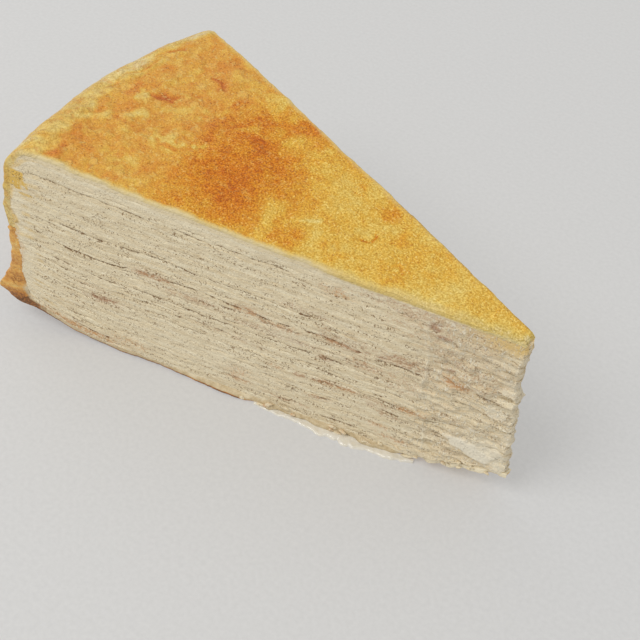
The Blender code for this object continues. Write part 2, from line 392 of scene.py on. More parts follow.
class Paint:
    """A material in the making. Its patterns go by the place on the piece."""

    def __init__(self, name):
        self.material = bpy.data.materials.new(name)
        self.material.use_nodes = True
        self.tree = self.material.node_tree
        self.shader = self.tree.nodes["Principled BSDF"]
        self.place = self.node("TexCoord", {}, "Object")

    def put(self, value, socket):
        if isinstance(value, Wire):
            self.tree.links.new(value.socket, socket)
        else:
            socket.default_value = value

    def node(self, kind, inputs, output=0, **settings):
        """Adds a shader node and gives one of its outputs. An input is a value or a wire."""
        made = self.tree.nodes.new("ShaderNode" + kind)
        for name, value in settings.items():
            setattr(made, name, value)
        for name, value in inputs.items():
            self.put(value, made.inputs[name])
        return Wire(self, made.outputs[output])

    def field(self, name):
        return self.node("Attribute", {}, "Fac", attribute_name=name)

    def stretched(self, *scale):
        return self.node("Mapping", {"Vector": self.place, "Scale": scale})

    def grain(self, size, detail=2.0, place=None, distortion=0.0):
        """Noise with bumps of about the given size, from 0 to 1."""
        inputs = {"Vector": place or self.place, "Scale": 1.0 / (size * MM), "Detail": detail}
        inputs.update({"Distortion": distortion, "Roughness": 0.55})
        return self.node("TexNoise", inputs, "Fac")

    def creases(self, size, low, high):
        """Thin winding lines."""
        return (1.0 - abs(self.grain(size, 3.0, distortion=1.0).rescale(low, high, -1.0, 1.0))).held()

    def mix(self, share, first, second, blend_type="MIX"):
        """A mix of two colours, each a wire or a screen colour."""
        first, second = (value if isinstance(value, Wire) else linear(value) for value in (first, second))
        return self.node("Mix", {0: share, 6: first, 7: second}, 2, data_type="RGBA", blend_type=blend_type)

    def ramp(self, value, stops):
        """A row of colours that the value picks from, each with its position."""
        made = self.node("ValToRGB", {"Fac": value}, "Color")
        elements = made.socket.node.color_ramp.elements
        while len(elements) < len(stops):
            elements.new(0.5)
        for element, (position, colour) in zip(elements, stops):
            element.position = position
            element.color = linear(colour)
        return made

    def finish(self, colour, rough, height, depth, strength, specular):
        """Links the surface's colour, roughness and relief, and gives the material."""
        dent = self.node("Bump", {"Height": height, "Distance": depth * MM, "Strength": strength}, "Normal")
        for name, value in (("Base Color", colour), ("Roughness", rough), ("Normal", dent)):
            self.put(value, self.shader.inputs[name])
        self.shader.inputs["Specular IOR Level"].default_value = specular
        return self.material


# Camera, light and floor

CAMERA_FROM_AXIS = Vector((0.05397, -0.15768, 0.22579))
CAMERA_TURN = Euler([math.radians(angle) for angle in (42.9118, -3.0090, 38.1447)], "XYZ")
CAMERA_LENS = 67.35
FLOOR_SIZE = 12.0
FLOOR_GLOW = 0.26
SKY_STRENGTH = 0.65
OUTLINE_SAMPLES = 317
TURN_SAMPLES = 13
LIT_AT = Vector((0.0, 0.0, 0.02))


def slice_axis():
    """Where the whole cake's axis stands in the part's frame: the top crepe's box against its plain form."""
    shares, turns = np.linspace(0.0, 1.0, OUTLINE_SAMPLES), np.linspace(-1.0, 1.0, TURN_SAMPLES)
    share, turn = np.meshgrid(shares, turns, indexing="ij")
    reach, height, out, up = top_line(share, turn)
    thickness = GAP + TOP_SKIN + skin_relief(reach, turn)
    points = MM * in_space(reach + out * thickness, height + up * thickness, turn).reshape(-1, 3)
    low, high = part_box("top_crepe")
    off = np.add(low, high) / 2.0 - (points.min(axis=0) + points.max(axis=0)) / 2.0
    return off * (1.0, 1.0, 0.0)


def add_object(name, data, place=(0.0, 0.0, 0.0)):
    made = bpy.data.objects.new(name, data)
    bpy.context.scene.collection.objects.link(made)
    made.location = place
    return made


def make_camera():
    data = bpy.data.cameras.new("camera")
    data.lens = CAMERA_LENS
    data.clip_start = 0.01
    camera = add_object("camera", data, Vector(AXIS) + CAMERA_FROM_AXIS)
    camera.rotation_euler = CAMERA_TURN
    bpy.context.scene.camera = camera


def make_light(name, place, size, watts, colour):
    data = bpy.data.lights.new(name, "AREA")
    data.shape = "DISK"
    data.size = size
    data.energy = watts
    data.color = colour
    light = add_object(name, data, place)
    light.rotation_euler = (LIT_AT - Vector(place)).to_track_quat("-Z", "Y").to_euler()


def make_surroundings():
    world = bpy.data.worlds.new("studio")
    world.use_nodes = True
    sky = world.node_tree.nodes["Background"]
    sky.inputs["Color"].default_value = (0.98, 0.99, 1.0, 1.0)
    sky.inputs["Strength"].default_value = SKY_STRENGTH
    bpy.context.scene.world = world
    bpy.context.scene.view_settings.view_transform = "Standard"
    make_light("key", (-0.35, -0.68, 1.15), 0.8, 8.2, (1.0, 0.99, 0.975))
    make_light("fill", (-1.0, 0.30, 0.80), 0.9, 1.4, (1.0, 0.985, 0.96))

    half = FLOOR_SIZE / 2.0
    corners = [(-half, -half, 0.0), (half, -half, 0.0), (half, half, 0.0), (-half, half, 0.0)]
    mesh = bpy.data.meshes.new("floor")
    mesh.from_pydata(corners, [], [(0, 1, 2, 3)])
    paint = Paint("floor")
    shade = paint.grain(1.1, 3.0).spread()
    paint.put(paint.mix(shade, (158, 157, 155), (166, 165, 163)), paint.shader.inputs["Base Color"])
    # A weak glow keeps the shadows faint
    paint.shader.inputs["Emission Color"].default_value = (1.0, 0.995, 0.985, 1.0)
    paint.shader.inputs["Emission Strength"].default_value = FLOOR_GLOW
    paint.shader.inputs["Roughness"].default_value = 0.6
    mesh.materials.append(paint.material)
    floor = add_object("floor", mesh)


# Layers of crepe and cream

def layer_bounds():
    """Shares of the stack's height where layers meet, bottom to top, and each layer's cut relief and fray."""
    draw = random.Random(SEED)
    gap_share = GAP / float(stack_height(FLAT_FROM))
    weights = []
    for index in range(LAYERS):
        uneven = draw.uniform(1.0 - CREAM_UNEVENNESS, 1.0 + CREAM_UNEVENNESS) if index % 2 == 0 else 1.0
        weights.append((CREPE_SHARE if index % 2 else 1.0 - CREPE_SHARE) * uneven)
    free = 1.0 - gap_share * (LAYERS - 1)
    bounds, low = [0.0], 0.0
    for weight in weights:
        low += free * weight / sum(weights) + gap_share
        bounds.append(low - gap_share / 2.0)
    bounds[-1] = 1.0
    spans = (-CUT_RELIEF, CUT_RELIEF), (-TIP_FRAY, TIP_FRAY)
    return bounds, [[draw.uniform(*span) for span in spans] for _ in range(LAYERS)]


# Open seams on the front cut, grooved and with the shade in them painted as dark lines. For each seam,
# counted from the stack's floor: how open it is, and the stretches of reach.
FRONT_SEAMS = {
    2: (0.9, ((47, 43), (42, 39), (113, 104))),
    3: (0.6, ((58, 52),)),
    4: (0.6, ((113, 108), (91, 72), (70, 58))),
    5: (0.45, ((114, 109), (102, 94))),
    6: (0.5, ((21, 7),)),
    7: (0.5, ((25, 16),)),
    8: (0.6, ((63, 58), (56, 52), (50, 44), (21, 12))),
    9: (0.5, ((70, 64),)),
    12: (0.4, ((123, 120),)),
    13: (0.65, ((114, 110), (108, 101), (98, 95), (93, 70), (64, 57), (55, 51), (48, 37), (35, 27),
                (26, 18))),
    14: (0.5, ((118, 112),)),
    15: (0.6, ((110, 107), (19, 10))),
    16: (0.45, ((110, 104), (102, 98), (96, 86), (80, 67), (20, 9))),
    19: (0.8, ((125, 121), (117, 112), (107, 104), (103, 84), (83, 64), (63, 51), (48, 42), (40, 29))),
    21: (0.4, ((88, 75), (69, 47), (23, 12))),
    22: (0.35, ((87, 77), (54, 33))),
    24: (0.9, ((121, 119), (116, 97), (86, 79), (77, 66), (64, 56), (52, 50), (48, 43), (42, 39), (35, 25),
               (12, 5))),
    28: (0.7, ((119, 117), (117, 112))),
    29: (0.8, ((114, 101), (98, 88), (87, 63), (62, 51), (48, 46))),
    30: (0.5, ((22, 14), (11, 5))),
    38: (0.7, ((120, 104), (103, 86), (84, 77), (74, 57))),
    40: (0.4, ((107, 100), (74, 71))),
}
# How far apart the noise of neighbouring layers is read
NOISE_PLACE = 31.0


def seam_opening(boundary, reach, side):
    """How open the seam at a boundary is along a cut, from 0 to 1. side is -1 in front and 1 behind."""
    open_share = np.zeros(np.shape(reach))
    if boundary in (0, LAYERS):
        return open_share
    place = stacked(reach, boundary * NOISE_PLACE, side * 500)
    low_down = 1.0 if boundary < 24 else 0.0
    dashes = held(1.6 * noise(place, 2.6, 15) - 0.05 + 0.25 * low_down)
    faint = (0.46 + 0.16 * low_down) * held(noise(place, 8, 13) + 0.15 + 0.15 * low_down) * dashes
    if side < 0 and boundary in FRONT_SEAMS:
        strength, stretches = FRONT_SEAMS[boundary]
        for start, end in stretches:
            inside = ramp(end - 1.2, end + 0.4, reach) * ramp(start + 1.2, start - 0.4, reach)
            open_share = np.maximum(open_share, 0.9 * strength * inside)
    if side > 0 and boundary % 3 == 2:
        open_share = (0.45 + 0.4 * (boundary % 5 == 4)) * ramp(0.0, 0.4, noise(place, 14, 14))
    return np.maximum(open_share * held(0.87 + waves(place, (0.5, 2.3, 11), (0.35, 0.8, 12))), faint)


def boundary_wave(boundary, reach, turn):
    """Small unevenness of the height where two layers meet."""
    if boundary in (0, LAYERS):
        return np.zeros(np.shape(reach))
    place = stacked(reach, turn * 6, boundary * NOISE_PLACE)
    bunched = stacked(reach, turn * 6, boundary * 2.6)
    inner = math.sin(math.pi * boundary / LAYERS) ** 0.5
    wave = waves(place, (0.24, 6, 21), (0.13, 2.2, 22), (0.08, 0.9, 23))
    return wave + inner * waves(bunched, (0.55, 13, 36), (0.20, 6.5, 37))


# Browned patches of crepe on the front cut: seam, reach, half length, half height, strength, and tint
# from 0 for brown to 1 for orange
FRONT_PATCHES = (
    (24, 90, 4.5, 0.8, 1, 0.35), (24, 65.4, 3.6, 0.9, 1, 0.4), (23, 58.7, 3.6, 0.9, 1, 0.5),
    (26, 47.2, 2, 2.6, 0.3, 0.2), (24, 45.6, 3.4, 0.6, 1, 0.3), (24, 41, 2.2, 0.6, 0.9, 0.1),
    (19, 47, 1.8, 0.8, 0.8, 0.2), (21, 37.6, 4, 1.5, 0.5, 0.3), (26, 28.1, 4.6, 1.7, 0.8, 0.2),
    (25, 32.8, 2.2, 0.8, 0.7, 0), (12, 59.1, 1.6, 0.5, 0.7, 0.5), (12, 52.8, 1.6, 0.6, 0.8, 0.3),
    (12, 46.5, 2.6, 0.7, 1, 0.4), (12, 41.4, 3.2, 0.5, 0.9, 0.5), (7, 48.2, 2.4, 0.5, 0.8, 0.3),
    (13, 25.4, 3.2, 0.8, 0.9, 0.8), (6, 68.5, 2.8, 1.6, 0.6, 0.9), (38, 45.5, 3.4, 1.3, 0.5, 0.8),
    (38, 29.6, 1.5, 0.6, 0.6, 0.2), (25, 17, 3.6, 1.3, 1, 0.7), (28, 18.6, 0.9, 0.6, 0.8, 0),
    (38, 23.6, 1.8, 1, 1, 0), (36, 21.4, 2, 0.8, 0.9, 0), (13, 104.5, 3.8, 0.85, 1, 0.1),
    (9, 31, 2.4, 0.8, 0.6, 0.3), (4, 68.5, 2.4, 0.7, 0.9, 0.6), (22, 80, 7, 0.8, 0.6, 0.1),
    (21, 58, 10, 0.9, 0.55, 0.1), (3, 57, 5, 0.5, 0.6, 0.4), (1, 112, 9, 0.8, 0.9, 0.9),
    (28, 14, 7, 4.5, 0.32, 0.2), (36, 27, 7, 3.6, 0.26, 0.3), (25, 41, 5, 2.6, 0.4, 0.1),
    (20, 29, 5, 2.8, 0.3, 0.3), (39, 26, 6.5, 2.2, 0.44, 0.35), (33, 21.8, 4, 2.2, 0.34, 0.2),
    (11, 33.4, 4, 1.8, 0.34, 0.2), (15, 107, 4, 1.2, 0.26, 0.1), (2, 108, 6, 0.45, 0.7, 0.3),
    (40, 28, 13, 1.6, 0.42, 0.3), (38, 17, 7, 2.4, 0.3, 0.3), (5, 33, 3, 0.6, 0.7, 0.7),
    (3, 29, 4, 0.6, 0.8, 0.6), (3, 98, 5, 1.2, 0.45, 0.9), (30, 52, 6, 1.2, 0.3, 0.1),
    (16, 71, 9, 0.7, 0.35, 0.2),
)
# Golden skin folded over the front cut by the round side: reach, height, half length, half height, strength
GOLDEN_PATCHES = (
    (125.7, 47.6, 4, 3.1, 1), (122.8, 43.4, 3.2, 0.45, 0.7), (126.8, 44, 1.2, 3, 0.6),
    (126.6, 34.6, 1.3, 1.6, 0.8),
)
# Raised dabs of smooth cream near the tip of the front cut, given likewise
CREAM_PATCHES = (
    (10.4, 11.4, 5.6, 2.2, 1), (4.8, 12.9, 2.4, 1.6, 0.7), (7.6, 26.4, 2.8, 1.3, 0.5),
    (3.4, 8.6, 2.6, 3, 0.6), (11.4, 18.4, 1.1, 0.8, 0.6), (5.6, 35.4, 1.6, 2.6, 0.3),
)
# Where the knife wiped a thin film of cream over the front cut, given likewise
WIPED = (
    (78, 10.5, 17, 5, 0.36), (57.5, 28, 6, 2.2, 0.42), (33, 6.5, 5, 2, 0.3), (7.6, 13, 4.4, 2.8, 0.85),
    (88.6, 17.2, 2.6, 1.8, 0.45), (92.4, 6.8, 3.4, 1.6, 0.4),
)
# Heights and reaches of the ridge near the tip of the front cut
KNIFE_RIDGE = ((8.0, 28.0, 48.0), (21.6, 23.9, 24.8))
BACK_PATCH_COUNT = 26
LAYER_GROUPS = ((0, 5), (5, 10), (10, 15), (15, None))
STRIP_WIDTH = 1.1
SKIN_OVERLAP = 0.25
TIP_ZONE = (30.0, 21.0)
UNDER_TOP = (0.97, 0.90)
GROOVE_DEPTH = 0.42
GROOVE_WIDTH = 0.17
SEAM_SHADE_WIDTH = 0.30


def ovals(patches, reach, height, uneven, full_at, tilt=0.0):
    """How far oval patches cover a cut, from 0 to 1."""
    covered = np.zeros(np.shape(reach))
    for centre, level, half_length, half_height, strength in patches:
        along = reach - centre
        away = (along / half_length) ** 2 + ((height - level - along * tilt) / half_height) ** 2
        covered = np.maximum(covered, strength * ramp(1.3, full_at, away + uneven))
    return covered


def draw_back_patches():
    """Browned patches of the back cut, given as those of the front cut are."""
    draw = random.Random(SEED + 1)
    spans = ((10.0, 118.0), (1.5, 5.0), (0.4, 0.9), (0.4, 0.9), (0.0, 1.0))
    for _ in range(BACK_PATCH_COUNT):
        yield (draw.randrange(2, LAYERS - 1), *(draw.uniform(*span) for span in spans))


PATCHES = {-1: FRONT_PATCHES, 1: tuple(draw_back_patches())}


def browning_on_cut(bounds, reach, up, side):
    """Strength and tint of the browned patches at places of a cut."""
    total_height = stack_height(reach)
    ragged = noise(stacked(reach, up * total_height * 2.5, side * 1000), 0.9, 31)
    strength = np.zeros(np.shape(reach))
    tint = np.zeros(np.shape(reach))
    for seam_index, centre, half_length, half_height, share, hue in PATCHES[side]:
        off = (up - bounds[seam_index]) * total_height
        patch = 1.5 * bump(reach - centre, half_length) * bump(off, half_height)
        halo = 0.34 * bump(reach - centre, 1.5 * half_length) * bump(off, 2.2 * half_height)
        patch = share * held(np.maximum(patch * (0.85 + 0.75 * ragged), halo))
        tint = np.where(patch > strength, hue, tint)
        strength = np.maximum(strength, patch)
    return strength, tint


def rim_on_cut(reach, height, index, share, side):
    """Strength of the golden and the brown skin along the round side of a cut."""
    place = stacked(reach, height, side * 300)
    ragged = noise(place, 1.4, 32)
    inwards = stack_side(height) - reach + 0.7 * noise(stacked(height, side * 100, 0), 2.6, 33)
    width = STRIP_WIDTH * blend(0.35, 1.0, ramp(10, 17, height))
    strip = ramp(width, 0.5 * width, inwards)
    below_seam = ramp(SEAM_HEIGHT + 0.6, SEAM_HEIGHT - 0.4, height)
    gold = 0.55 * strip * (1.0 - below_seam)
    if side < 0:
        uneven = 0.4 * ragged + 0.3 * noise(place, 0.7, 44)
        gold = np.maximum(gold, ovals(GOLDEN_PATCHES, reach, height, uneven, 0.8))
    below_skin = (index + share) / LAYERS + 0.02 * ragged
    gold = np.maximum(gold, 0.75 * ramp(0.87, 1.0, below_skin) * ramp(22, 7, reach))
    if index % 2:
        ends = ramp(116, 122, reach) * ramp(0.42, 0.2, np.abs(share - 0.5))
        dashes = held(2.0 * noise(stacked(reach, index * NOISE_PLACE, side * 1000), 2.2, 34) - 0.3)
        gold = np.maximum(gold, 0.4 * ends * dashes)
    return gold, strip * below_seam


def knife_ridge(reach, height):
    """A thin upright ridge that the knife left near the tip of the front cut, and the part beyond it."""
    level = stacked(height, 0, 0)
    off = reach - np.interp(height, *KNIFE_RIDGE) - 0.35 * noise(level, 3, 41)
    faded = 0.35 + 0.65 * ramp(-0.4, 0.5, noise(level, 4, 42))
    return faded * bump(off, 0.32), ramp(0.4, -0.5, off)


def cut_waves(reach, height, side):
    """Relief that the layers and the skins share on a cut."""
    place = stacked(reach, height, side * 200)
    return waves(place, (0.10, 9, 50), (0.06, 3.2, 52)) + 0.045 * noise(place * (0.35, 1.0, 1.0), 0.8, 53)


def cut_surface(index, bounds, reach, height, up, share, side):
    """Relief and fields of one layer's edge on a cut: how far it stands out, and its marks."""
    place = stacked(reach, height, side * 200)
    layer_place = stacked(reach, index * NOISE_PLACE, side * 400)
    tip_zone = ramp(*TIP_ZONE, reach) * (1.0 if side < 0 else 0.8)
    lined = ramp(*UNDER_TOP, up)
    thickness = (bounds[index + 1] - bounds[index]) * stack_height(reach)
    from_low, from_high = share * thickness, (1.0 - share) * thickness

    torn = waves(layer_place, (0.26, 5, 54), (0.16, 1.8, 55))
    torn = torn * (0.35 + 0.65 * ramp(-0.3, 0.4, noise(place, 6, 59)))
    dragged = stacked(reach * 0.75 + height * 0.3, height * 0.95 - reach * 0.2, side * 200)
    torn = torn + waves(dragged, (0.26, 3.6, 60), (0.19, 1.3, 56))
    ledges = 1.0 - 2.0 * np.abs(noise(stacked(reach * 0.3, height - reach * 0.16, side * 200), 1.9, 48))
    torn = torn + 0.32 * ledges * ramp(42, 28, height)
    relief = cut_waves(reach, height, side) + 0.035 * lined * noise(layer_place, 9, 51)
    relief = relief + (0.03 + 0.04 * tip_zone) * noise(place, 1.1, 58) + tip_zone * lined * torn
    fold = ramp(31, 20, reach) * ramp(9.5, 4, height)
    relief = relief + 0.45 * fold * (0.6 + noise(stacked(reach, index * NOISE_PLACE, 0), 5, 49))

    covered = np.zeros(np.shape(reach))
    if side < 0:
        ridge, beyond = knife_ridge(reach, height)
        uneven = 0.4 * noise(stacked(reach, height, 0), 1.7, 43)
        covered = ovals(CREAM_PATCHES, reach, height, uneven, 0.5, tilt=0.2)
        relief = blend(relief + 0.30 * ridge - 0.10 * beyond, 0.22 + 0.05 * noise(place, 2, 57), covered)
        covered = np.maximum(covered, 0.32 * ridge)
        for centre, level, half_length, half_height, strength in WIPED:
            wiped = bump(reach - centre, half_length) * bump(height - level, half_height)
            covered = np.maximum(covered, strength * wiped)
    from_side = stack_side(height) - reach + 1.6 * noise(place, 3, 35)
    at_top = 0.4 * ramp(0.94, 0.975, up) * ramp(34, 48, reach)
    covered = np.maximum.reduce([covered, at_top, 0.35 * ramp(6, 2.5, reach), 0.55 * ramp(6, 1.5, from_side)])

    low_open, high_open = seam_opening(index, reach, side), seam_opening(index + 1, reach, side)

    def seams(width):
        return np.maximum(low_open * bump(from_low, width), high_open * bump(from_high, width))

    relief = relief - GROOVE_DEPTH * (1.0 - covered) * seams(GROOVE_WIDTH)
    # Painted shade: the cut is darkened along open seams, where shade falls in the gaps between layers
    seam_shade = seams(SEAM_SHADE_WIDTH * (1.0 + 0.35 * noise(layer_place, 1.2, 45)))
    brown, tint = browning_on_cut(bounds, reach, up, side)
    gold, strip = rim_on_cut(reach, height, index, share, side)
    return relief, {
        "seam_shade": seam_shade * (1.0 - covered), "brown": np.maximum(brown, strip) * (1.0 - covered),
        "tint": np.where(strip > brown, 1.0, tint), "smear": covered * (1.0 - gold), "gold": gold,
    }


def make_layer(index, bounds, own_relief, fray, rects):
    """Points, quads, texture places and fields of one crepe or cream layer."""
    counts = (LAYER_COLUMNS, len(LAYER_ACROSS) - 1, len(LAYER_ROWS) - 1)
    steps, quads, places = box_lattice(counts, rects)
    along = steps[:, 0] / LAYER_COLUMNS
    along = along * (1.0 - TIP_CROWDING + TIP_CROWDING * along)
    turn = np.array(LAYER_ACROSS)[steps[:, 1]]
    share = np.array(LAYER_ROWS)[steps[:, 2]]
    up = blend(bounds[index], bounds[index + 1], share)
    ragged = 0.40 * noise(stacked(0, up * 50, 0), 4, 61)
    ragged = ragged + 0.11 * noise(stacked(turn * 4, up * 50, index * NOISE_PLACE), 1.3, 62)
    rounded = turn ** 2 * (0.7 + 0.5 * noise(stacked(turn * 4, up * 50, 3), 1.8, 47))
    torn_back = np.maximum(0.2 * fray + ragged, -0.25) + rounded - 0.9 * ramp(0.70, 0.95, up)
    along = along + torn_back / STACK_RADIUS * (1.0 - along) ** 14
    reach, height = in_stack(along, up)
    low_wave, high_wave = (boundary_wave(boundary, reach, turn) for boundary in (index, index + 1))
    height = height + blend(low_wave, high_wave, share)
    relief = np.zeros(len(steps))
    fields = {"tip": ramp(*TIP_ZONE, reach)}
    for side in (-1, 1):
        chosen = np.sign(turn) == side
        cut = reach[chosen], height[chosen], up[chosen], share[chosen]
        side_relief, side_fields = cut_surface(index, bounds, *cut, side)
        relief[chosen] = side_relief + own_relief * 0.2 * ramp(*UNDER_TOP, up[chosen])
        for name, value in side_fields.items():
            fields.setdefault(name, np.zeros(len(steps)))[chosen] = value
    return in_space(reach, height, turn, relief), quads, places, fields


def group_rects(slot, slots):
    """Rectangles of the texture for one layer of a group: its cuts get nearly all of the room."""
    strip = 0.86 / (2 * slots)
    front_v = slot * 2 * strip
    hidden = (0.0, 0.88, 0.62, 0.11)
    end_u = 0.64 + 0.36 * slot / slots
    end_width = 0.34 / slots
    return (
        (0.0, front_v, 1.0, strip * 0.94), (0.0, front_v + strip, 1.0, strip * 0.94), hidden, hidden,
        (end_u, 0.88, end_width, 0.05), (end_u, 0.94, end_width, 0.05),
    )


def layer_material(name, pale, deep):
    """Soft matte food, cut with a knife: streaks along the layers and browned patches, with painted shade in
    the pits and open seams and painted highlights as bright flecks and specks.
    """
    paint = Paint(name)
    seam_shade, brown, smear, tip = (paint.field(name) for name in ("seam_shade", "brown", "smear", "tip"))
    bare = 1.0 - smear
    stretched = paint.stretched(1.0, 1.0, 4.0)
    colour = paint.mix(paint.grain(4, 3, stretched).spread(), pale, deep)
    colour = colour.mixed(1.0, paint.grain(0.5).spread(0.93, 1.06), "MULTIPLY")
    tip_tint = tip * paint.grain(9, 2, stretched).rescale(0.35, 0.7)
    colour = colour.mixed(tip_tint * 0.5, (212, 190, 156))
    colour = colour.mixed(paint.field("gold"), (226, 186, 94))

    ragged = paint.grain(0.5, 3).spread(-0.45, 0.45)
    browned = (brown + ragged).rescale(0.1, 1.05, 0.0, 0.85) * brown.rescale(0.02, 0.15)
    colour = colour.mixed(browned, paint.mix(paint.field("tint"), (162, 118, 88), (202, 142, 76)))
    scratches = paint.grain(1.5, 2, paint.stretched(1.0, 1.0, 5.0)).rescale(0.59, 0.68) * bare
    colour = colour.mixed(scratches * 0.38, (168, 143, 112))

    level = paint.node("SeparateXYZ", {"Vector": paint.place}, "Z")
    # Small pits, dented in the relief and darkened with painted shade
    pit_zone = paint.grain(5, 3, stretched).rescale(0.38, 0.62, -0.13, 0.07)
    pit_zone = pit_zone + level.rescale(46 * MM, 34 * MM, 0.0, 0.016) + seam_shade * 0.12
    shaded_pit = (paint.grain(0.42, 1) + pit_zone).rescale(0.64, 0.70) * (bare * tip.between(1.0, 0.75))
    colour = colour.mixed(shaded_pit * 0.76, (136, 100, 58))
    # Painted shade in the open seams between layers, as ragged dark lines
    seam_shade_line = (seam_shade + ragged * 0.55).rescale(0.38, 0.74) * seam_shade.rescale(0.05, 0.3)
    colour = colour.mixed(seam_shade_line * 0.88, (126, 90, 52))

    # Raised flecks of cream near the tip, lightened with painted highlights of wet cream
    wet = paint.grain(0.8, 2, paint.stretched(1.5, 1.5, 0.6)).rescale(0.57, 0.65) * tip
    colour = colour.mixed(wet * 0.60, (246, 238, 216))
    # Fine bright specks over the cut: painted glints
    colour = colour.mixed(paint.grain(0.40, 0).rescale(0.66, 0.74, 0.0, 0.40), (248, 240, 216))
    smeared = paint.mix(tip, (236, 225, 198), (245, 237, 216))
    colour = colour.mixed(smear * tip.between(0.62, 0.74), smeared)

    rough = paint.grain(1.5, 3).spread(0.48, 0.66) - tip * 0.14
    height = paint.grain(0.36) + paint.grain(0.9) * 0.8 - shaded_pit * 0.6 + wet * 0.7 - seam_shade_line * 0.6
    return paint.finish(colour, rough, height, 0.45, 0.6, 0.3)


def make_stack():
    """The layers, in pieces of five or six crepes or creams. Gives the crepes' material."""
    bounds, reliefs = layer_bounds()
    crepe = layer_material("crepe_cut", (235, 220, 186), (220, 201, 164))
    cream = layer_material("cream_cut", (239, 226, 194), (226, 209, 174))
    for kind, first, material in (("crepe", 1, crepe), ("cream", 0, cream)):
        for low, high in LAYER_GROUPS:
            group = range(first, LAYERS, 2)[low:high]
            parts = [
                make_layer(index, bounds, *reliefs[index], group_rects(slot, len(group)))
                for slot, index in enumerate(group)
            ]
            names = [f"{kind}_{index // 2 + 1:02d}" for index in group]
            piece = make_piece(f"{names[0]}_to_{names[-1][-2:]}", parts, material, LAYER_SHARP_ANGLE)
            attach(piece, "root")
            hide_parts(*names)
    return crepe


# Top skin

# Strokes on the top skin: from and to, each as reach along the middle and sideways place (back is
# positive), then half width and strength. A brown stroke with a negative strength makes the skin paler.
BROWN_STROKES = (
    (82.4, 7.2, 80, 5.2, 2.6, 0.15), (75.8, -9, 75, -11.2, 3, 0.12), (82.6, -2.6, 81.2, -4.2, 2.4, 0.1),
    (88.6, 9, 85.6, 13, 2.2, 0.14), (92.8, 13.8, 92, 15, 1.6, 0.16), (78, 16.2, 75.6, 18.4, 1.8, 0.16),
    (70.8, 6.4, 68.6, 8.2, 2.4, -0.14), (59.6, -12.4, 58.6, -10.4, 2.8, 0.14),
    (46.6, 7.8, 46, 8.6, 1.2, 0.16), (114.6, -20, 112.6, -24, 2.6, 0.15),
    (112.4, -28, 112, -26.4, 1.6, 0.12), (112.7, -13.2, 110, -15.5, 2.2, 0.07), (86, -10, 72, 8, 9, 0.09),
    (84, 6, 74, -10, 7, 0.1), (70, -2, 64, 0, 4, 0.07), (38, -2, 33, 2, 3, 0.08),
    (98.6, -19.2, 97, -18.4, 2.6, -0.11), (106, 10.5, 104, 12, 2, 0.08), (106, 24, 104.6, 26, 2, 0.14),
    (112.8, 25, 111.6, 26.2, 2, -0.08), (109, 3, 105, 6.6, 2.6, 0.09), (112, -18, 108, -22, 3, 0.07),
    (101.6, 17.3, 99, 14, 2.6, 0.2), (93, 7.2, 89.6, 0, 2.6, 0.15), (112.8, 0.6, 108.8, -7, 2.4, 0.11),
    (117.2, -10.6, 116.6, -9, 2, 0.12), (92, 14.6, 91, 14.2, 2.2, 0.08), (52, 7.8, 51, 8.6, 2.4, -0.09),
    (42, -1.6, 39.4, 0.4, 2.4, -0.11), (49.8, -8.2, 47.2, -6, 2, 0.12), (49.6, 0.6, 43.6, 5.4, 2.2, -0.1),
    (62, 8.8, 60, 10.4, 2, -0.08), (73.8, 13.6, 73, 14.6, 1.8, -0.08), (24.8, -3.8, 22.4, -2.2, 2.4, -0.1),
    (32.4, 2.2, 31.4, 2.8, 2, -0.09), (113.6, -18.2, 113, -17.2, 2, -0.12), (63.8, -7, 63.2, -6, 2, 0.1),
    (87.8, 18, 87.2, 18.6, 2, 0.09), (109.6, -2.8, 109, -2, 2, 0.08), (39.8, 2.8, 38.8, 3.8, 1.8, 0.12),
    (39.4, -3.6, 38.4, -2.8, 1.8, -0.07), (94.8, 0.2, 93.8, 1.2, 2.4, 0.08),
    (85.6, 15.4, 84.8, 16.2, 2, -0.09), (102.6, -6.2, 101.6, -5.4, 2.2, 0.08),
)
PALE_STROKES = (
    (110.9, 0.9, 110.1, 1.7, 1.3, 0.4), (108.5, -5, 107.3, -4, 1.2, 0.34),
    (112.8, -10, 112.2, -9, 1.4, 0.2), (105.1, 1.6, 101.2, 4.3, 0.9, 0.15),
    (101.2, 4.3, 97.3, 6.5, 1.2, 0.15), (87.2, 7, 84.6, 9.6, 0.8, 0.19), (87.2, 19.2, 85.8, 20.4, 2, 0.26),
    (63.7, -13.2, 66.6, -5.9, 1.2, 0.13), (58.2, -5.4, 56.8, -3.8, 0.7, 0.2),
    (67.5, 11.5, 66, 13.2, 3, 0.1), (76, 11, 74.6, 12, 1.8, 0.14), (58, 2, 55, 4, 3, 0.07),
    (104.8, -11, 103.6, -10.2, 1.4, 0.12), (99.5, 12.4, 98.2, 13.4, 1.4, 0.14),
)
NET_STROKES = (
    (99, -7.4, 91.6, -3.6, 2.6, 0.34), (98, 4.5, 93, 7.6, 2, 0.18), (103, -20, 98, -16, 2.6, 0.14),
)
